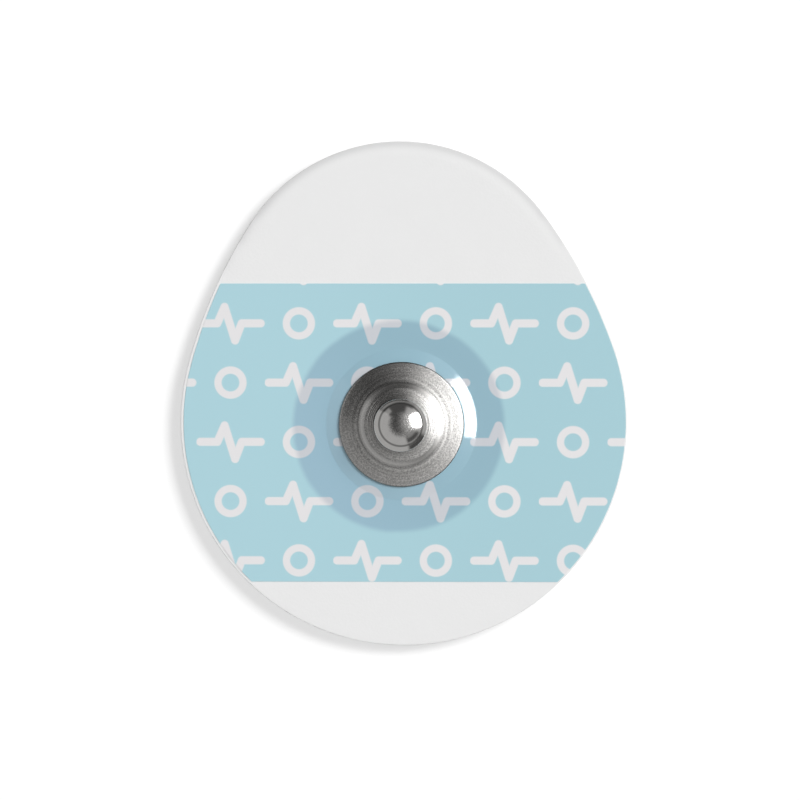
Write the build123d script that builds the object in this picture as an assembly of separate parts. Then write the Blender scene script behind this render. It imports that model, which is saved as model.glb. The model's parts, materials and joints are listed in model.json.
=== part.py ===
from build123d import *
import os
from math import sqrt

os.makedirs("parts", exist_ok=True)

# Snap ECG electrode, in millimetres. The origin lies on the stud's axis in the skin plane,
# +Z points out of the skin through the stud, and +Y points to the narrow end of the backing.

# Foam backing: a wide round body and a narrower dome, joined by two long flank arcs
backing_width = 33.9
dome_radius = 13.5
dome_reach = 7.8
flank_radius = 37.7
foam_thickness = 1.5
edge_bevel = 0.1
well_radius = 8.1

# Registration of the die cut to the stud and the label strip
die_shift_x = 0.14
die_shift_y = 0.15
die_turn = 2.1

# Label film: a strip cut with the backing, with a collar that rises round the stud
film_thickness = 0.08
strip_above_stud = 10.67
strip_below_stud = 11.96
collar_run = 0.9
collar_bend = 0.4
collar_skirt = 0.6

# Snap stud, drawn from sheet: rim, cone, step, saddle, waist, flare, lip, shoulder and cap
stud_gauge = 0.2
rim_radius = 4.72
rim_seat = 0.27
cone_rise = 0.26
step_foot_radius = 3.34
step_rise = 0.4
step_top_radius = 2.78
saddle_rise = 0.21
waist_radius = 1.65
waist_height = 0.6
flare_rise = 0.3
lip_radius = 2.02
lip_height = 0.35
shoulder_run = 0.4
shoulder_rise = 0.7
cap_height = 0.37
draw_bend = 0.25
rim_bevel = 0.05

# Sensor eyelet: a flange under the film and a post headed over inside the stud
flange_past_rim = 0.08
flange_thickness = 0.55
flange_stand = 0.28
flange_bevel = 0.2

# Clearances between the pieces
film_over_flange = 0.05
hole_round_post = 0.1
post_in_stud = 0.1
sponge_in_well = 0.1
sponge_round_flange = 0.1

# Levels above the skin
foam_top = foam_thickness
film_top = foam_top + film_thickness
flange_top = foam_top + flange_stand
flange_bottom = flange_top - flange_thickness
stud_seat = flange_top + film_thickness
rim_level = stud_seat + stud_gauge
step_foot_level = rim_level + cone_rise
step_top_level = step_foot_level + step_rise
waist_bottom = step_top_level + saddle_rise
waist_top = waist_bottom + waist_height
lip_bottom = waist_top + flare_rise
lip_top = lip_bottom + lip_height
cap_foot = lip_top + shoulder_rise
stud_top = cap_foot + cap_height

# Radii that follow from the fits
flange_radius = rim_radius + flange_past_rim
post_wall = stud_gauge + post_in_stud
post_radius = waist_radius - post_wall
headed_radius = lip_radius - post_wall
film_hole_radius = post_radius + hole_round_post
collar_top_radius = flange_radius + film_over_flange
collar_foot_radius = collar_top_radius + collar_run
collar_outer_radius = collar_foot_radius + collar_skirt


def backing_outline():
    """Die-cut outline of the backing, with its flank arcs tangent to the body and the dome."""
    body_radius = backing_width / 2
    dome_centre = Vector(0, dome_reach)
    flank_to_dome = flank_radius - dome_radius
    flank_to_body = flank_radius - body_radius
    flank_y = (dome_reach**2 + flank_to_body**2 - flank_to_dome**2) / (2 * dome_reach)
    flank_centre = Vector(-sqrt(flank_to_body**2 - flank_y**2), flank_y)
    hip = flank_centre - flank_centre.normalized() * flank_radius
    shoulder = flank_centre + (dome_centre - flank_centre).normalized() * flank_radius
    body_arc = TangentArc((0, -body_radius), hip, tangent=(1, 0))
    flank_arc = TangentArc(hip, shoulder, tangent=body_arc % 1)
    dome_arc = TangentArc(shoulder, dome_centre + Vector(0, dome_radius), tangent=flank_arc % 1)
    half = body_arc + flank_arc + dome_arc
    outline = make_face(half + mirror(half, about=Plane.YZ))
    return Pos(die_shift_x, die_shift_y) * Rot(0, 0, die_turn) * outline


def sheet_section(shown, corners, thickness):
    """Half section of a round formed sheet, from its shown side and the sharp corners of that side."""
    hidden = corners.offset_2d(thickness, Kind.INTERSECTION, Side.RIGHT, closed=False)
    inner_end, outer_end = sorted([hidden @ 0, hidden @ 1], key=lambda point: point.X)
    ends = [Line(shown @ 0, inner_end), Line(shown @ 1, outer_end)]
    return Plane.XZ * make_face(shown.edges() + hidden.edges() + ends)


def make_foam_backing():
    """Die-cut foam sheet, bevelled round its top edge, with the gel well through it."""
    sheet = extrude(backing_outline(), foam_thickness)
    top_edges = sheet.faces().sort_by(Axis.Z)[-1].edges()
    well = extrude(Circle(well_radius), foam_thickness)
    return chamfer(top_edges, edge_bevel) - well


def make_label_film():
    """Film strip over the foam and the well, raised in a collar over the eyelet's flange."""
    strip_height = strip_above_stud + strip_below_stud
    strip_centre = (strip_above_stud - strip_below_stud) / 2
    band = Pos(0, strip_centre) * Rectangle(2 * backing_width, strip_height)
    strip = offset(backing_outline(), -edge_bevel) & band
    flat = Pos(0, 0, foam_top) * extrude(strip - Circle(collar_outer_radius), film_thickness)
    points = [
        (film_hole_radius, stud_seat),
        (collar_top_radius, stud_seat),
        (collar_foot_radius, film_top),
        (collar_outer_radius, film_top),
    ]
    shown = FilletPolyline(*points, radius=collar_bend)
    return flat + revolve(sheet_section(shown, Polyline(*points), film_thickness), Axis.Z)


def make_snap_stud():
    """Stud drawn from one sheet, hollow from below, with its rim seated on the film."""
    crease = (lip_radius - shoulder_run, cap_foot)
    neck = (lip_radius, lip_top)
    cap = TangentArc((0, stud_top), crease, tangent=(1, 0))
    shoulder = TangentArc(neck, crease, tangent=(0, 1))
    head = cap + shoulder
    points = [
        neck,
        (lip_radius, lip_bottom),
        (waist_radius, waist_top),
        (waist_radius, waist_bottom),
        (step_top_radius, step_top_level),
        (step_foot_radius, step_foot_level),
    ]
    rim = (rim_radius, rim_level)
    seat_start = (rim_radius - rim_seat, rim_level)
    shown = head + FilletPolyline(*points, rim, radius=draw_bend)
    stud = revolve(sheet_section(shown, head + Polyline(*points, seat_start, rim), stud_gauge), Axis.Z)
    rim_edges = stud.edges().filter_by(GeomType.CIRCLE).group_by(SortBy.RADIUS)[-1]
    return chamfer(rim_edges, rim_bevel)


def make_sensor_eyelet():
    """Flange under the film, and a post through the film that flares inside the stud's lip."""
    section = Polyline(
        (0, flange_bottom),
        (flange_radius, flange_bottom),
        (flange_radius, flange_top),
        (post_radius, flange_top),
        (post_radius, waist_top + post_wall),
        (headed_radius, lip_bottom + post_wall),
        (0, lip_bottom + post_wall),
        close=True,
    )
    eyelet = revolve(Plane.XZ * make_face(section), Axis.Z)
    flange_edges = eyelet.edges().filter_by(GeomType.CIRCLE).group_by(SortBy.RADIUS)[-1]
    return chamfer(flange_edges.sort_by(Axis.Z)[-1], flange_bevel)


def make_gel_sponge():
    """Sponge disc in the gel well, flush with the skin side and recessed for the eyelet's flange."""
    sponge_radius = well_radius - sponge_in_well
    seat_radius = flange_radius + sponge_round_flange
    section = Polyline(
        (0, 0),
        (sponge_radius, 0),
        (sponge_radius, foam_top),
        (seat_radius, foam_top),
        (seat_radius, flange_bottom),
        (0, flange_bottom),
        close=True,
    )
    return revolve(Plane.XZ * make_face(section), Axis.Z)


pieces = {
    "foam_backing": make_foam_backing(),
    "label_film": make_label_film(),
    "snap_stud": make_snap_stud(),
    "sensor_eyelet": make_sensor_eyelet(),
    "gel_sponge": make_gel_sponge(),
}
for name, piece in pieces.items():
    export_step(piece, f"parts/{name}.step")
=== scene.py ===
"""Looks of a snap ECG electrode: foam backing, printed film, drawn metal stud and gel sponge.

Pieces are modelled in millimetres, and each is brought to the frame's metres when it is done.
"""

import json
from math import asin, atan2, cos, floor, pi, radians, sin, sqrt, tan

import bmesh
import bpy
from mathutils import Matrix, Vector

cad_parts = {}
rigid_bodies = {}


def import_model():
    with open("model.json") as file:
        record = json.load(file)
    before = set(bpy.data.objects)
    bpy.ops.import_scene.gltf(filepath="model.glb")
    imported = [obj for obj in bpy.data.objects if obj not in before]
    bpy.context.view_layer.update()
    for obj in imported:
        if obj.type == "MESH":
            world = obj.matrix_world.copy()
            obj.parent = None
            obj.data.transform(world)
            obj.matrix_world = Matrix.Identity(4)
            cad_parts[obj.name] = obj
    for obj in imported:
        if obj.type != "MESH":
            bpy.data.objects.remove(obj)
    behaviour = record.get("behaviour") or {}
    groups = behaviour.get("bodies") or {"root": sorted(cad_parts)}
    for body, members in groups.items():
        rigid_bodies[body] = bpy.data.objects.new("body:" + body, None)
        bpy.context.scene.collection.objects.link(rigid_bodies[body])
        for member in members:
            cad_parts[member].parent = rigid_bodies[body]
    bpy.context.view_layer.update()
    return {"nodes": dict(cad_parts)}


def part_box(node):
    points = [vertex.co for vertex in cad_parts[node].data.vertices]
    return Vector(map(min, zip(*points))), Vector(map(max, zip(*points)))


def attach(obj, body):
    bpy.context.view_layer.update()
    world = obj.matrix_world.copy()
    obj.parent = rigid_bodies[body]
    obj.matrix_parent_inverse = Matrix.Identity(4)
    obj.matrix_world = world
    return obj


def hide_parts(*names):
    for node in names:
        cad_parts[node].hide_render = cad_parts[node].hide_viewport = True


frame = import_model()

MM = 0.001

# Modelling: how near vertices merge or count as level, and the steps of round stretches
merge_reach = 0.0002
level_reach = 0.0005
turn_steps = 192
bend_step = radians(12)
arc_step = 0.36

# Die-cut outline of the backing, and its registration to the stud
body_radius = 16.95
dome_radius = 13.5
dome_reach = 7.8
flank_radius = 37.7
die_shift = Vector((0.14, 0.15))
die_turn = radians(2.1)
outline_trim = 0.005

# Foam, whose cut edge is slightly rounded and droops in three passes towards the tip of the dome
foam_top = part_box("foam_backing")[1].z / MM
well_radius = 8.1
cut_round = 0.05
cut_rings = 3
droop_width = 1.1
droop_rings = 9
droop_step = 0.03
droop_starts = [11.8, 14.0, 16.0]

# Foam's finish: depths over which painted shade darkens its drooping edge and the cut begins, and heights
# over which the glue ends
droop_shade_depths = (0.004, 0.08)
cut_depths = (0.26, 0.36)
glue_heights = (0.005, 0.03)
fine_cell = 0.2
coarse_cell = 0.34

# Film strip, which lies a little to the right on the foam, and its collar over the eyelet's flange
film_thickness = 0.04
film_top = foam_top + film_thickness
film_edge = 0.175
film_shift = Vector((0.075, 0))
strip_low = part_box("label_film")[0].y / MM
strip_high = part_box("label_film")[1].y / MM
straight_edge = 1.0
strip_cuts = 60
film_hole_radius = 1.45
collar_top_radius = 4.75
collar_foot_radius = 5.75
collar_outer_radius = 6.35
collar_bend = 0.4

# Print on the film: heartbeat traces and rings in staggered rows
row_pitch = 4.5
row_start = 0.9
column_pitch = 10.4
trace_points = [(-2.3, 0.0), (-1.0, 0.0), (-0.45, 1.25), (0.35, -1.3), (0.85, 0.0), (2.3, 0.0)]
trace_stroke = 0.62
ring_radius = 0.95
ring_stroke = 0.56
print_softness = 0.06

# Gel that shows through the film as a darker disc, a little off the stud, with a wavering edge
gel_middle = Vector((-0.2, -0.15))
gel_radii = (7.75, 8.3)
gel_waver = 0.2

# Snap stud, from the seat of its rim up to the top of its cap
stud_axis = Vector((0, 0))
stud_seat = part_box("snap_stud")[0].z / MM
stud_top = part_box("snap_stud")[1].z / MM
stud_gauge = 0.2
rim_level = stud_seat + stud_gauge
rim_past_solid = 0.03
rim_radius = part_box("snap_stud")[1].x / MM + rim_past_solid
rim_bevel = 0.08
rim_bevel_rings = 3
rim_band = 0.06
cone_rise = 0.24
step_foot = Vector((3.24, rim_level + cone_rise))
step_rise = 0.215
step_top = Vector((2.82, step_foot.y + step_rise))
step_bend = 0.2
saddle_rise = 0.21
waist_radius = 1.65
waist_bottom = step_top.y + saddle_rise
waist_above_rim = 1.47
waist_top = rim_level + waist_above_rim
flare_rise = 0.3
lip_radius = 1.99
lip_bottom = waist_top + flare_rise
cap_height = 0.37
cap_foot = stud_top - cap_height
cap_steps = 20
cap_shift = Vector((0.035, 0.07))
crease_radius = 1.63
shoulder_drop = 0.22
shoulder_bend = 0.07
draw_bend = 0.25

# Soft rings on the saddle and the cone, each set centred at a share of its slope
saddle_rings = 4
saddle_pitch = 0.13
saddle_depth = 0.008
saddle_share = 0.6
cone_rings = 2
cone_pitch = 0.55
cone_depth = 0.003
cone_share = 0.55
ring_half_share = 0.4

# Stud's finish: where its zones fade, half widths of its painted shade lines, and noise that reads dark and
# light
head_levels = (step_top.y + 0.1, waist_bottom + 0.3)
crease_levels = (cap_foot - 0.5, cap_foot - 0.4)
crease_widths = (0.02, 0.12)
crown_radii = (0.7, 1.15)
groove_radii = (1.9, 2.55)
slope_inner_radii = (step_top.x - 0.08, step_top.x + 0.06)
slope_outer_radii = (step_foot.x - 0.1, step_foot.x + 0.04)
foot_radius = step_foot.x + 0.08
foot_widths = (0.03, 0.14)
rim_line_radii = (rim_radius - 0.12, rim_radius - 0.03)
polished_way = Vector((-0.6, 0.8))
polished_reach = (0.35, 0.95)
noise_ends = (0.3, 0.7)

# Gel sponge in the well
sponge_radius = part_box("gel_sponge")[1].x / MM
sponge_seat_radius = 4.9
sponge_seat_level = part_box("sensor_eyelet")[0].z / MM
sponge_edge = 0.15
sponge_edge_rings = 4
sponge_loop = 96
sponge_cuts = 7
corner_angle = radians(60)
pore_size = 0.5
pore_depth = 0.14
pore_start = 0.03
pore_strength = 0.8

# Photograph's framing, and how far the camera leans to the right and to the dome
image_side = 800
pixels_per_mm = 13.2
stud_pixel = Vector((401.4, 424.4))
camera_distance = 400.0
lean_right = radians(1.9)
lean_up = radians(1.2)
clip_range = (0.01, 20.0)

# Floor, just under the skin side, with its own glow where it is seen, in metres
floor_size = 6.0
floor_drop = 0.02 * MM
floor_glow = 0.54

# Softbox that shades the object, and the card that its gloss shows, in degrees, metres and watts
lamp_distance = 4.0
softbox = {"azimuth": 32, "elevation": 48, "width": 1.5, "height": 1.5, "energy": 138}
gloss_card = {"azimuth": 13.5, "elevation": 49.5, "width": 2.1, "height": 1.75, "energy": 175}

# Studio's panels in degrees, by strength. A foot and a head are each an elevation and its blur
left_wall = {"strength": 0.46, "azimuth": 217, "half_width": 71, "blur": 4}
left_window = {"strength": 0.34, "azimuth": 138, "half_width": 9, "blur": 4}
left_window |= {"foot": (42, 3), "head": (54, 2)}
right_wall = {"strength": 0.42, "azimuth": 24, "half_width": 48, "blur": 8, "foot": (8, 6)}
dark_screen = {"strength": 1.0, "azimuth": 76, "half_width": 22, "blur": 6}
dark_screen |= {"foot": (20, 3), "head": (47, 2)}
back_strip = {"strength": 0.26, "azimuth": 99, "half_width": 44, "blur": 6}
back_strip |= {"foot": (22, 3), "head": (31, 2)}
front_board = {"strength": 0.24, "azimuth": 317, "half_width": 24, "blur": 6, "foot": (53, 3)}
front_strip = {"strength": 0.5, "azimuth": 314, "half_width": 24, "blur": 6}
front_strip |= {"foot": (35, 2), "head": (42, 2)}
room_light = 0.085

# Studio's ceiling, which brightens towards an azimuth
ceiling_foot = (64, 2)
ceiling_azimuth = radians(8)
ceiling_reach = (-0.16, 0.24)
ceiling_light = 0.05
ceiling_gain = 0.5


class Socket:
    """An output in a node tree. Arithmetic on it adds Math nodes."""

    def __init__(self, nodes, output):
        self.nodes = nodes
        self.output = output

    def math(self, operation, *terms):
        """A Math node on these terms."""
        return self.nodes.add("Math", {"operation": operation}, dict(enumerate(terms)))

    def __add__(self, other):
        return self.math("ADD", self, other)

    def __radd__(self, other):
        return self.math("ADD", other, self)

    def __sub__(self, other):
        return self.math("SUBTRACT", self, other)

    def __rsub__(self, other):
        return self.math("SUBTRACT", other, self)

    def __mul__(self, other):
        return self.math("MULTIPLY", self, other)

    def __rmul__(self, other):
        return self.math("MULTIPLY", other, self)

    def __truediv__(self, other):
        return self.math("DIVIDE", self, other)

    def __rtruediv__(self, other):
        return self.math("DIVIDE", other, self)

    def __mod__(self, other):
        return self.math("FLOORED_MODULO", self, other)

    def __pow__(self, other):
        return self.math("POWER", self, other)

    def __abs__(self):
        return self.math("ABSOLUTE", self)

    def __floor__(self):
        return self.math("FLOOR", self)

    def least(self, other):
        """The smaller of two values."""
        return self.math("MINIMUM", self, other)

    def most(self, other):
        """The larger of two values."""
        return self.math("MAXIMUM", self, other)


class NodeTree:
    """A node tree that is written as expressions."""

    def __init__(self, tree):
        self.tree = tree
        tree.nodes.clear()

    def add(self, kind, settings=None, sockets=None, output=0):
        """Adds a node, makes its settings, then sets or links its sockets, and gives one output."""
        node = self.tree.nodes.new("ShaderNode" + kind)
        for name, value in (settings or {}).items():
            setattr(node, name, value)
        for key, value in (sockets or {}).items():
            if isinstance(value, Socket):
                self.tree.links.new(value.output, node.inputs[key])
            else:
                node.inputs[key].default_value = value
        return Socket(self, node.outputs[output]) if node.outputs else None

    def place(self):
        """Object coordinates in millimetres."""
        metres = self.add("TexCoord", output="Object")
        return self.add("VectorMath", {"operation": "SCALE"}, {0: metres, "Scale": 1 / MM})

    def split(self, vector):
        """The three numbers of a vector."""
        return [self.add("SeparateXYZ", sockets={0: vector}, output=axis) for axis in "XYZ"]

    def off(self, x, y, middle):
        """Distance from a point of the plan."""
        across = x - middle.x
        along = y - middle.y
        return (across * across + along * along) ** 0.5

    def rise(self, value, low, high):
        """A smooth step from 0 at low to 1 at high."""
        settings = {"interpolation_type": "SMOOTHSTEP"}
        return self.add("MapRange", settings, {"Value": value, "From Min": low, "From Max": high})

    def line(self, value, core, reach):
        """1 while a value is within a core of 0, fading to 0 at its reach."""
        return 1 - self.rise(abs(value), core, reach)

    def mix(self, factor, first, second):
        """A colour between two."""
        return self.add("Mix", {"data_type": "RGBA"}, {0: factor, 6: first, 7: second}, output=2)

    def noise(self, vector, size, detail=2.0):
        """Cloudy values from 0 to 1, in lumps of about this size."""
        return self.add("TexNoise", {}, {"Vector": vector, "Scale": 1 / size, "Detail": detail})

    def turned(self, radius, per_mm, detail):
        """Cloudy values from 0 to 1 in rings, about this many to the millimetre."""
        settings = {"noise_dimensions": "1D"}
        return self.add("TexNoise", settings, {"W": radius, "Scale": per_mm, "Detail": detail})

    def cells(self, vector, size):
        """Distance to the nearest cell's middle, in cells of about this size."""
        return self.add("TexVoronoi", {}, {"Vector": vector, "Scale": 1 / size})

    def bump(self, height, depth, strength):
        """Surface normal of a relief, whose height of 1 stands this deep."""
        return self.add("Bump", {}, {"Height": height, "Distance": depth * MM, "Strength": strength})


def start_finish(name):
    """An empty material and its node tree."""
    material = bpy.data.materials.new(name)
    material.use_nodes = True
    return material, NodeTree(material.node_tree)


def close_finish(nodes, sockets):
    """Ends a material with a surface that has these sockets."""
    surface = nodes.add("BsdfPrincipled", sockets=sockets)
    nodes.add("OutputMaterial", sockets={"Surface": surface})


def grey(level):
    """A colour without a tint."""
    return (level, level, level, 1)


def foam_finish():
    """White closed-cell foam: fine cells, painted shade that greys it where it droops, coarser on the cut,
    tacky underneath.
    """
    material, nodes = start_finish("white_foam")
    place = nodes.place()
    z = nodes.split(place)[2]
    depth = foam_top - z
    droop_shade = nodes.rise(depth, *droop_shade_depths)
    cut = nodes.rise(depth, *cut_depths)
    glue = 1 - nodes.rise(z, *glue_heights)
    mottle = nodes.noise(place, 2.2) * 0.6 + nodes.noise(place, 0.35) * 0.4
    fine_cells = nodes.cells(place, fine_cell)
    coarse_cells = nodes.cells(place, coarse_cell)
    # Painted shade: the skin darkens towards grey where its edge droops at the dome
    skin = nodes.mix(droop_shade, nodes.mix(mottle, grey(0.80), grey(0.83)), grey(0.67))
    wall = nodes.mix(coarse_cells, grey(0.68), grey(0.84))
    relief = fine_cells * (1 - cut) * 0.35 + coarse_cells * cut
    close_finish(nodes, {
        "Base Color": nodes.mix(glue, nodes.mix(cut, skin, wall), (0.78, 0.77, 0.72, 1)),
        "Roughness": 0.82 - glue * 0.5 + (mottle - 0.5) * 0.1,
        "Normal": nodes.bump(relief * (1 - glue), 0.03, 0.5),
    })
    return material


def printed_marks(nodes, x, y):
    """Where the white print lies: heartbeat traces and rings in staggered rows."""
    lifted = y - row_start
    row = floor(lifted / row_pitch)
    across = (x + row % 2 * (column_pitch / 2)) % column_pitch - column_pitch / 2
    along = lifted % row_pitch - row_pitch / 2
    from_trace = across + column_pitch / 4
    nearest = None
    for (start_x, start_y), (end_x, end_y) in zip(trace_points, trace_points[1:]):
        run_x, run_y = end_x - start_x, end_y - start_y
        from_x, from_y = from_trace - start_x, along - start_y
        share = (from_x * run_x + from_y * run_y) / (run_x**2 + run_y**2)
        share = nodes.add("Clamp", sockets={"Value": share})
        off_x, off_y = from_x - share * run_x, from_y - share * run_y
        gap = off_x * off_x + off_y * off_y
        nearest = gap if nearest is None else nearest.least(gap)
    half = trace_stroke / 2
    traces = nodes.line(nearest**0.5, half - print_softness, half + print_softness)
    off_ring = nodes.off(across, along, Vector((column_pitch / 4, 0))) - ring_radius
    half = ring_stroke / 2
    rings = nodes.line(off_ring, half - print_softness, half + print_softness)
    return traces.most(rings)


def film_finish():
    """Glossy pale blue film with white print, darker where gel lies behind it instead of foam, and painted
    lighter towards the left and the lower left.
    """
    material, nodes = start_finish("blue_film")
    place = nodes.place()
    x, y, _ = nodes.split(place)
    waver = (nodes.noise(place, 2.5) - 0.5) * gel_waver
    gel = 1 - nodes.rise(nodes.off(x, y, gel_middle) + waver, *gel_radii)
    cloud = nodes.noise(place, 6.0)
    # Painted light: the tint is lighter towards the left and, over the gel, towards the lower left
    painted_light_left = nodes.rise(cloud * 4 - x, -8, 14)
    painted_light_low_left = nodes.rise(cloud * 3 - x * 0.9 - y * 0.42, -0.5, 10.5)
    over_foam = nodes.mix(painted_light_left, (0.412, 0.645, 0.712, 1), (0.442, 0.682, 0.752, 1))
    over_gel = nodes.mix(painted_light_low_left, (0.312, 0.495, 0.585, 1), (0.346, 0.527, 0.636, 1))
    tint = nodes.mix(gel, over_foam, over_gel)
    white = nodes.mix(gel, (0.82, 0.81, 0.82, 1), (0.62, 0.64, 0.68, 1))
    close_finish(nodes, {
        "Base Color": nodes.mix(printed_marks(nodes, x, y), tint, white),
        "Roughness": 0.05 + nodes.noise(place, 1.2) * 0.04,
        "IOR": 1.62,
        "Normal": nodes.bump(nodes.noise(place, 0.9), 0.004, 0.3),
    })
    return material


def stud_finish():
    """Drawn metal: a polished head with a grained crown, a grained base with turning rings, and painted
    shade lines.
    """
    material, nodes = start_finish("bright_metal")
    place = nodes.place()
    x, y, z = nodes.split(place)
    radius = nodes.off(x, y, stud_axis)
    from_cap = nodes.off(x, y, cap_shift)

    # Zones of the stud
    base = 1 - nodes.rise(z, *head_levels)
    crown = 1 - nodes.rise(from_cap, *crown_radii)
    grained = base + crown * (1 - base) * 0.9
    slope = nodes.rise(radius, *slope_inner_radii) * (1 - nodes.rise(radius, *slope_outer_radii))
    polished = nodes.rise((x * polished_way.x + y * polished_way.y) / radius, *polished_reach)

    # Painted shade: dark lines where shade falls round the cap, under the head, at the foot of the step and
    # along the rim
    crease = nodes.line(from_cap - crease_radius, *crease_widths) * nodes.rise(z, *crease_levels)
    groove = (1 - nodes.rise(radius, *groove_radii)) * base
    foot = nodes.line(radius - foot_radius, *foot_widths) * base
    rim = nodes.rise(radius, *rim_line_radii)
    painted_shade_lines = crease * 0.75 + groove * 0.5 + foot * 0.35 + rim * 0.8

    # Colour, with less speckle on the slope of the step, and relief
    grain = nodes.noise(place, 0.08, 3.0)
    speckle = nodes.rise(nodes.noise(place, 0.1, 1.0), *noise_ends)
    bands = nodes.rise(nodes.turned(radius, 4.5, 1.0), *noise_ends)
    worked = speckle * (0.65 - slope * 0.45) + bands * 0.35 + slope * 0.16
    dull = nodes.mix(worked, (0.29, 0.285, 0.278, 1), (0.66, 0.648, 0.632, 1))
    bright = nodes.mix(nodes.noise(place, 0.7), (0.57, 0.56, 0.545, 1), (0.65, 0.64, 0.625, 1))
    colour = nodes.mix(grained, bright, dull)
    streaks = nodes.turned(radius, 14.0, 3.0)
    relief = grain * (0.05 + grained * (0.55 - polished * 0.35)) + streaks * base * 0.5
    close_finish(nodes, {
        "Base Color": nodes.mix(painted_shade_lines, colour, (0.12, 0.12, 0.115, 1)),
        "Metallic": 1.0,
        "Roughness": 0.12 + base * (0.26 - polished * 0.17) + crown * 0.11 + (grain - 0.5) * 0.1,
        "Normal": nodes.bump(relief, 0.016, 0.7),
    })
    return material


def sponge_finish():
    """Wet open-cell sponge: pale walls, pores painted darker with depth as shade, and a gel sheen."""
    material, nodes = start_finish("wet_sponge")
    place = nodes.place()
    z = nodes.split(place)[2]
    # Painted shade: the colour darkens the deeper a point lies in a pore, where the gel coat also thickens
    deep = nodes.rise(z, pore_start, pore_depth)
    fine = nodes.noise(place, 0.12)
    close_finish(nodes, {
        "Base Color": nodes.mix(deep, (0.84, 0.86, 0.86, 1), (0.56, 0.62, 0.64, 1)),
        "Roughness": 0.35 + fine * 0.25,
        "Coat Weight": 0.5 + deep * 0.4,
        "Coat Roughness": 0.08,
        "Normal": nodes.bump(fine, 0.03, 0.5),
    })
    return material


def silver_finish():
    """Matte silver coating with a fine grain and a little tarnish."""
    material, nodes = start_finish("silver_coating")
    place = nodes.place()
    tarnish = nodes.noise(place, 1.4)
    grain = nodes.noise(place, 0.06)
    close_finish(nodes, {
        "Base Color": nodes.mix(tarnish, (0.36, 0.35, 0.34, 1), (0.50, 0.49, 0.48, 1)),
        "Metallic": 0.8,
        "Roughness": 0.5 + grain * 0.2,
        "Normal": nodes.bump(grain, 0.01, 0.4),
    })
    return material


def start_piece(name):
    """An empty mesh object at the origin, in edit mode."""
    bpy.ops.object.select_all(action="DESELECT")
    bpy.ops.mesh.primitive_plane_add(size=1.0)
    piece = bpy.context.object
    piece.name = piece.data.name = name
    bpy.ops.object.mode_set(mode="EDIT")
    bpy.ops.mesh.select_mode(type="VERT")
    bpy.ops.mesh.delete(type="VERT")
    return piece


def set_vertex(point):
    """One new vertex, which is then the selection."""
    bpy.ops.mesh.primitive_plane_add(size=1.0, location=point)
    bpy.ops.mesh.merge(type="CENTER")


def extrude(step):
    """Extrudes the selection by a step."""
    bpy.ops.mesh.extrude_region_move(TRANSFORM_OT_translate={"value": step})


def turn(centre, axis, angle, steps):
    """Draws the selection round a centre, right-handed about an axis."""
    bpy.ops.mesh.spin(steps=steps, angle=-angle, center=centre, axis=axis)


def pick(piece, kind, test):
    """Selects the vertices, edges or faces that pass a test, and nothing else."""
    bpy.ops.mesh.select_mode(type=kind)
    bpy.ops.mesh.select_all(action="DESELECT")
    mesh = bmesh.from_edit_mesh(piece.data)
    for element in {"VERT": mesh.verts, "EDGE": mesh.edges, "FACE": mesh.faces}[kind]:
        if test(element):
            element.select_set(True)
    mesh.select_flush_mode()
    bmesh.update_edit_mesh(piece.data)


def lies_past(edge, radius):
    """Whether an edge lies wholly outside a radius from the stud's axis."""
    return min(vert.co.xy.length for vert in edge.verts) > radius


def lies_at(element, level):
    """Whether all corners of an edge or face are at one level."""
    return all(abs(vert.co.z - level) < level_reach for vert in element.verts)


def is_open(edge):
    """Whether an edge has fewer than two faces."""
    return edge.is_boundary or edge.is_wire


def merge_doubles():
    """Selects everything and merges what lies together."""
    bpy.ops.mesh.select_all(action="SELECT")
    bpy.ops.mesh.remove_doubles(threshold=merge_reach)


def close_seams():
    """Merges what lies together and turns all faces outwards."""
    merge_doubles()
    bpy.ops.mesh.normals_make_consistent(inside=False)


def modify(piece, kind, **settings):
    """Adds a modifier with these settings and applies it, in object mode."""
    modifier = piece.modifiers.new(kind.lower(), kind)
    for name, value in settings.items():
        setattr(modifier, name, value)
    bpy.ops.object.modifier_apply(modifier=modifier.name)


def trace_outline(inset, level, shift=Vector((0, 0))):
    """Draws the closed outline of the backing as four tangent arcs, inset from the cut edge."""
    flank_to_dome = flank_radius - dome_radius
    flank_to_body = flank_radius - body_radius
    flank_y = (dome_reach**2 + flank_to_body**2 - flank_to_dome**2) / (2 * dome_reach)
    flank_x = sqrt(flank_to_body**2 - flank_y**2)
    hip = atan2(-flank_y, flank_x)
    shoulder = atan2(dome_reach - flank_y, flank_x)
    arcs = [
        ((0, dome_reach), dome_radius, pi - 2 * shoulder),
        ((flank_x, flank_y), flank_radius, shoulder - hip),
        ((0, 0), body_radius, pi + 2 * hip),
        ((-flank_x, flank_y), flank_radius, shoulder - hip),
    ]
    registered = Matrix.Rotation(die_turn, 2)
    from_dome = Vector((cos(shoulder), sin(shoulder))) * (dome_radius - inset)
    start = registered @ (Vector((0, dome_reach)) + from_dome) + die_shift + shift
    set_vertex((*start, level))
    for centre, radius, sweep in arcs:
        middle = registered @ Vector(centre) + die_shift + shift
        turn((*middle, level), (0, 0, 1), sweep, round(radius * sweep / arc_step))
    merge_doubles()


def fill_upwards(piece):
    """Fills the selected outline with one face that points up, and selects it."""
    bpy.ops.mesh.edge_face_add()
    mesh = bmesh.from_edit_mesh(piece.data)
    mesh.normal_update()
    if mesh.faces[:][-1].normal.z < 0:
        bpy.ops.mesh.flip_normals()
    bpy.ops.mesh.select_mode(type="FACE")


def draw_line(start, end):
    """Draws a straight stretch of a half section from its selected end, and gives the new end."""
    extrude((end.x - start.x, 0, end.y - start.y))
    return end


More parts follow.
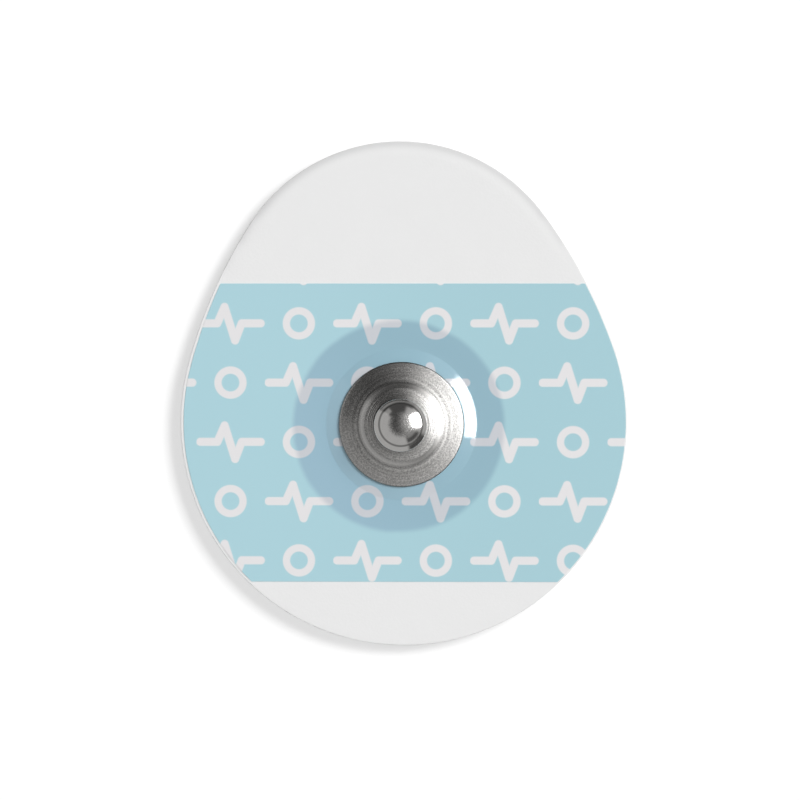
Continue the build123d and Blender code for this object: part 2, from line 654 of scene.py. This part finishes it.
def trace_section(points):
    """Draws a half section from its first point, which is selected, with each corner rounded by its bend."""
    at = Vector(points[0][:2])
    for (*corner, bend), (*after, _) in zip(points[1:], points[2:]):
        corner, after = Vector(corner), Vector(after)
        ahead = (corner - at).normalized()
        beyond = (after - corner).normalized()
        swing = atan2(ahead.cross(beyond), ahead.dot(beyond))
        inset = bend * tan(abs(swing) / 2)
        arc_start = draw_line(at, corner - ahead * inset)
        side = Vector((-ahead.y, ahead.x)) * (bend if swing > 0 else -bend)
        centre = arc_start + side
        turn((centre.x, 0, centre.y), (0, -1, 0), swing, 2 + floor(abs(swing) / bend_step))
        at = corner + beyond * inset
    draw_line(at, Vector(points[-1][:2]))


def seat_piece(piece, node, material, sharp_angle):
    """Brings a modelled piece to metres, shades it and hands it to the frame in a node's place."""
    piece.scale = (MM, MM, MM)
    bpy.ops.object.transform_apply(location=False, rotation=False, scale=True)
    bpy.ops.object.shade_smooth_by_angle(angle=radians(sharp_angle))
    piece.data.materials.clear()
    piece.data.materials.append(material)
    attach(piece, "root")
    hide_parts(node)


def raise_foam():
    """Raises the selected outline to the foam's top, rounds its edge and rings it for the droop."""
    extrude((0, 0, foam_top - cut_round))
    turns = [pi / 2 * ring / cut_rings for ring in range(cut_rings + 1)]
    profile = [(cut_round * (1 - cos(angle)), cut_round * sin(angle)) for angle in turns]
    # One ring more than the droop needs keeps the top flat beside it
    margin = [cut_round + droop_width * ring / droop_rings for ring in range(1, droop_rings + 2)]
    profile += [(inset, cut_round) for inset in margin]
    for (inset, height), (next_inset, next_height) in zip(profile, profile[1:]):
        bpy.ops.mesh.inset(thickness=next_inset - inset, depth=next_height - height)


def droop_dome(piece):
    """Lowers the cut edge at the dome, in passes that start ever nearer to its tip."""
    mesh = bmesh.from_edit_mesh(piece.data)
    mesh.verts.index_update()
    cut_edge = {vert.index for vert in mesh.verts if level_reach < vert.co.z < foam_top - level_reach}
    for start in droop_starts:
        pick(piece, "VERT", lambda vert: vert.index in cut_edge and vert.co.y > start)
        bpy.ops.transform.translate(
            value=(0, 0, -droop_step), use_proportional_edit=True,
            proportional_edit_falloff="SHARP", proportional_size=droop_width,
        )


def model_foam():
    """Die-cut sheet round the gel well, with a rounded cut edge that droops at the dome."""
    piece = start_piece("foam_pad")
    trace_outline(outline_trim, 0)
    fill_upwards(piece)
    raise_foam()
    for level in (0, foam_top):
        pick(piece, "FACE", lambda face: len(face.verts) > 4 and lies_at(face, level))
        bpy.ops.mesh.delete(type="ONLY_FACE")
        bpy.ops.mesh.primitive_circle_add(vertices=turn_steps, radius=well_radius, location=(0, 0, level))
        pick(piece, "EDGE", lambda edge: lies_at(edge, level) and is_open(edge))
        bpy.ops.mesh.fill()
    pick(piece, "EDGE", lambda edge: edge.is_boundary)
    bpy.ops.mesh.bridge_edge_loops()
    droop_dome(piece)
    close_seams()
    bpy.ops.object.mode_set(mode="OBJECT")
    return piece


def model_film():
    """Strip across the backing, with a collar that climbs to the seat under the stud's rim."""
    piece = start_piece("printed_film")
    trace_outline(film_edge, film_top, film_shift)
    fill_upwards(piece)
    for level, side in ((strip_high, 1), (strip_low, -1)):
        bpy.ops.mesh.select_all(action="SELECT")
        bpy.ops.mesh.bisect(plane_co=(0, level, 0), plane_no=(0, side, 0), clear_outer=True)
    bpy.ops.mesh.select_all(action="SELECT")
    bpy.ops.mesh.delete(type="ONLY_FACE")
    pick(piece, "EDGE", lambda edge: edge.calc_length() > straight_edge)
    bpy.ops.mesh.subdivide(number_cuts=strip_cuts)
    bpy.ops.mesh.select_mode(type="VERT")
    set_vertex((film_hole_radius, 0, stud_seat))
    trace_section([
        (film_hole_radius, stud_seat, 0),
        (collar_top_radius, stud_seat, collar_bend),
        (collar_foot_radius, film_top, collar_bend),
        (collar_outer_radius, film_top, 0),
    ])
    bpy.ops.mesh.select_linked()
    turn((0, 0, 0), (0, 0, 1), 2 * pi, turn_steps)
    close_seams()
    pick(piece, "EDGE", lambda edge: lies_at(edge, film_top) and is_open(edge))
    bpy.ops.mesh.fill()
    close_seams()
    bpy.ops.object.mode_set(mode="OBJECT")
    modify(piece, "SOLIDIFY", thickness=film_thickness, offset=-1, use_even_offset=True)
    return piece


def ripple(start, end, middle, pitch, depth, count):
    """Section points of soft rings that stand on a straight stretch, each bend as wide as the pitch."""
    along = (end - start).normalized()
    off = Vector((-along.y, along.x)) * depth
    half = along * pitch * ring_half_share
    points = []
    for index in range(count):
        crest = middle + along * pitch * (index - (count - 1) / 2)
        points += [(*(crest - half), pitch), (*(crest + off), pitch), (*(crest + half), pitch)]
    return points


def model_stud():
    """Stud drawn from one sheet: cap, lip, waist, ringed saddle, step and ringed cone."""
    piece = start_piece("drawn_stud")
    saddle_top = Vector((waist_radius, waist_bottom))
    rim = Vector((rim_radius, rim_level))
    saddle_middle = saddle_top.lerp(step_top, saddle_share)
    cone_middle = step_foot.lerp(rim, cone_share)
    cap_radius = (crease_radius**2 + cap_height**2) / (2 * cap_height)
    set_vertex((0, 0, stud_top))
    turn((0, 0, stud_top - cap_radius), (0, 1, 0), asin(crease_radius / cap_radius), cap_steps)
    trace_section([
        (crease_radius, cap_foot, 0),
        (lip_radius, cap_foot - shoulder_drop, shoulder_bend),
        (lip_radius, lip_bottom, draw_bend),
        (waist_radius, waist_top, draw_bend),
        (*saddle_top, draw_bend),
        *ripple(saddle_top, step_top, saddle_middle, saddle_pitch, saddle_depth, saddle_rings),
        (*step_top, step_bend),
        (*step_foot, step_bend),
        *ripple(step_foot, rim, cone_middle, cone_pitch, cone_depth, cone_rings),
        (*rim, 0),
    ])
    bpy.ops.mesh.select_all(action="SELECT")
    turn((0, 0, 0), (0, 0, 1), 2 * pi, turn_steps)
    close_seams()
    pick(piece, "VERT", lambda vert: vert.co.z > cap_foot - level_reach)
    bpy.ops.transform.translate(value=(*cap_shift, 0))
    bpy.ops.object.mode_set(mode="OBJECT")
    modify(piece, "SOLIDIFY", thickness=stud_gauge, offset=-1, use_even_offset=True)
    bpy.ops.object.mode_set(mode="EDIT")
    pick(piece, "EDGE", lambda edge: lies_past(edge, rim_radius - rim_band) and lies_at(edge, rim_level))
    bpy.ops.mesh.bevel(offset=rim_bevel, segments=rim_bevel_rings, affect="EDGES")
    bpy.ops.object.mode_set(mode="OBJECT")
    return piece


def sink_pores(piece):
    """Sinks open pores into the skin side of the sponge."""
    inner = sponge_radius - 2 * sponge_edge
    skin = piece.vertex_groups.new(name="skin")
    porous = [v.index for v in piece.data.vertices if v.co.z < level_reach and v.co.xy.length < inner]
    skin.add(porous, 1.0, "REPLACE")
    pores = bpy.data.textures.new("pores", "VORONOI")
    pores.noise_scale = pore_size
    pores.noise_intensity = pore_strength
    modify(
        piece, "DISPLACE", texture=pores, texture_coords="LOCAL", direction="Z",
        strength=-pore_depth, mid_level=1.0, vertex_group="skin",
    )


def model_sponge():
    """Sponge disc with a softened edge, a porous skin side and a seat for the eyelet's flange."""
    piece = start_piece("gel_pad")
    bpy.ops.mesh.primitive_circle_add(vertices=sponge_loop, radius=sponge_radius)
    bpy.ops.mesh.select_all(action="SELECT")
    bpy.ops.mesh.fill_grid(span=sponge_loop // 4)
    bpy.ops.mesh.subdivide(number_cuts=sponge_cuts)
    pick(piece, "EDGE", lambda edge: edge.is_boundary)
    extrude((0, 0, foam_top))
    extrude((0, 0, 0))
    share = sponge_seat_radius / sponge_radius
    bpy.ops.transform.resize(value=(share, share, 1), center_override=(0, 0, foam_top))
    extrude((0, 0, sponge_seat_level - foam_top))
    bpy.ops.mesh.edge_face_add()
    close_seams()
    pick(piece, "EDGE", lambda edge: lies_at(edge, 0) and edge.calc_face_angle(0) > corner_angle)
    bpy.ops.mesh.bevel(offset=sponge_edge, segments=sponge_edge_rings, affect="EDGES")
    bpy.ops.object.mode_set(mode="OBJECT")
    sink_pores(piece)
    return piece


def add_floor():
    """Pale floor that keeps the object's soft shadow and reads white where it is lit."""
    material, nodes = start_finish("pale_floor")
    shade = nodes.noise(nodes.place(), 60.0)
    paper = nodes.add("BsdfDiffuse", sockets={"Color": nodes.mix(shade, grey(0.50), grey(0.51))})
    rays = ("Camera", "Glossy", "Transmission")
    camera, gloss, glass = [nodes.add("LightPath", output=f"Is {ray} Ray") for ray in rays]
    strength = camera.most(gloss).most(glass) * floor_glow
    glow = nodes.add("Emission", sockets={"Color": grey(1), "Strength": strength})
    nodes.add("OutputMaterial", sockets={"Surface": nodes.add("AddShader", sockets={0: paper, 1: glow})})
    bpy.ops.object.select_all(action="DESELECT")
    bpy.ops.mesh.primitive_plane_add(size=floor_size, location=(0, 0, -floor_drop))
    floor_sheet = bpy.context.object
    floor_sheet.name = "floor"
    floor_sheet.data.materials.append(material)


def light_world():
    """Dim studio: pale panels round the object, and a ceiling that is bright over its right half."""
    world = bpy.data.worlds.new("studio")
    world.use_nodes = True
    bpy.context.scene.world = world
    nodes = NodeTree(world.node_tree)
    x, y, z = nodes.split(nodes.add("TexCoord", output="Generated"))
    straight_up_guard = 0.0001
    level = (x * x + y * y + straight_up_guard) ** 0.5

    def along(azimuth):
        """How far a direction reaches towards an azimuth."""
        return x * cos(azimuth) + y * sin(azimuth)

    def above(elevation, blur):
        """1 above an elevation, fading in over a blur."""
        return nodes.rise(z, sin(radians(elevation - blur)), sin(radians(elevation + blur)))

    def panel(strength, azimuth, half_width, blur, foot=None, head=None):
        """Light of a panel that stands at an azimuth, between its foot and its head if it has them."""
        facing = along(radians(azimuth)) / level
        light = nodes.rise(facing, cos(radians(half_width + blur)), cos(radians(half_width - blur)))
        if head:
            light = light * (above(*foot) - above(*head))
        elif foot:
            light = light * above(*foot)
        return light * strength

    sides = room_light + panel(**right_wall) * (1 - panel(**dark_screen))
    for shape in (left_wall, left_window, back_strip, front_board, front_strip):
        sides = sides + panel(**shape)
    ceiling = ceiling_light + nodes.rise(along(ceiling_azimuth), *ceiling_reach) * ceiling_gain
    high = above(*ceiling_foot)
    light = sides * (1 - high) + ceiling * high
    backdrop = nodes.add("Background", sockets={"Color": grey(1), "Strength": light})
    nodes.add("OutputWorld", sockets={"Surface": backdrop})


def add_lamp(name, azimuth, elevation, width, height, energy):
    """Flat lamp that faces the object from an azimuth and an elevation."""
    around, up = radians(azimuth), radians(elevation)
    towards = Vector((cos(up) * cos(around), cos(up) * sin(around), sin(up)))
    data = bpy.data.lights.new(name, "AREA")
    data.shape = "RECTANGLE"
    data.size, data.size_y = width, height
    data.energy = energy
    lamp = bpy.data.objects.new(name, data)
    bpy.context.scene.collection.objects.link(lamp)
    lamp.location = towards * lamp_distance
    lamp.rotation_euler = towards.to_track_quat("Z", "Y").to_euler()
    return lamp


def add_camera():
    """Camera nearly overhead, framed as the photograph, where the stud's rim has a known place."""
    view_width = image_side / pixels_per_mm
    middle = Vector((image_side / 2, image_side / 2))
    off_x, off_y = (middle - stud_pixel) / pixels_per_mm
    target = Vector((off_x, -off_y, rim_level)) * MM
    data = bpy.data.cameras.new("camera")
    camera = bpy.data.objects.new("camera", data)
    bpy.context.scene.collection.objects.link(camera)
    bpy.context.scene.camera = camera
    camera.rotation_euler = (-lean_up, lean_right, 0)
    camera.location = target + camera.rotation_euler.to_matrix() @ Vector((0, 0, camera_distance * MM))
    data.lens = data.sensor_width * camera_distance / view_width
    data.clip_start, data.clip_end = clip_range


foam = model_foam()
seat_piece(foam, "foam_backing", foam_finish(), sharp_angle=40)
film = model_film()
seat_piece(film, "label_film", film_finish(), sharp_angle=40)
stud = model_stud()
seat_piece(stud, "snap_stud", stud_finish(), sharp_angle=30)
sponge = model_sponge()
seat_piece(sponge, "gel_sponge", sponge_finish(), sharp_angle=40)
eyelet = frame["nodes"]["sensor_eyelet"]
eyelet.data.materials.clear()
eyelet.data.materials.append(silver_finish())

add_floor()
light_world()
add_lamp("softbox", **softbox).visible_glossy = False
add_lamp("gloss_card", **gloss_card).visible_diffuse = False
add_camera()
bpy.context.scene.view_settings.view_transform = "Standard"
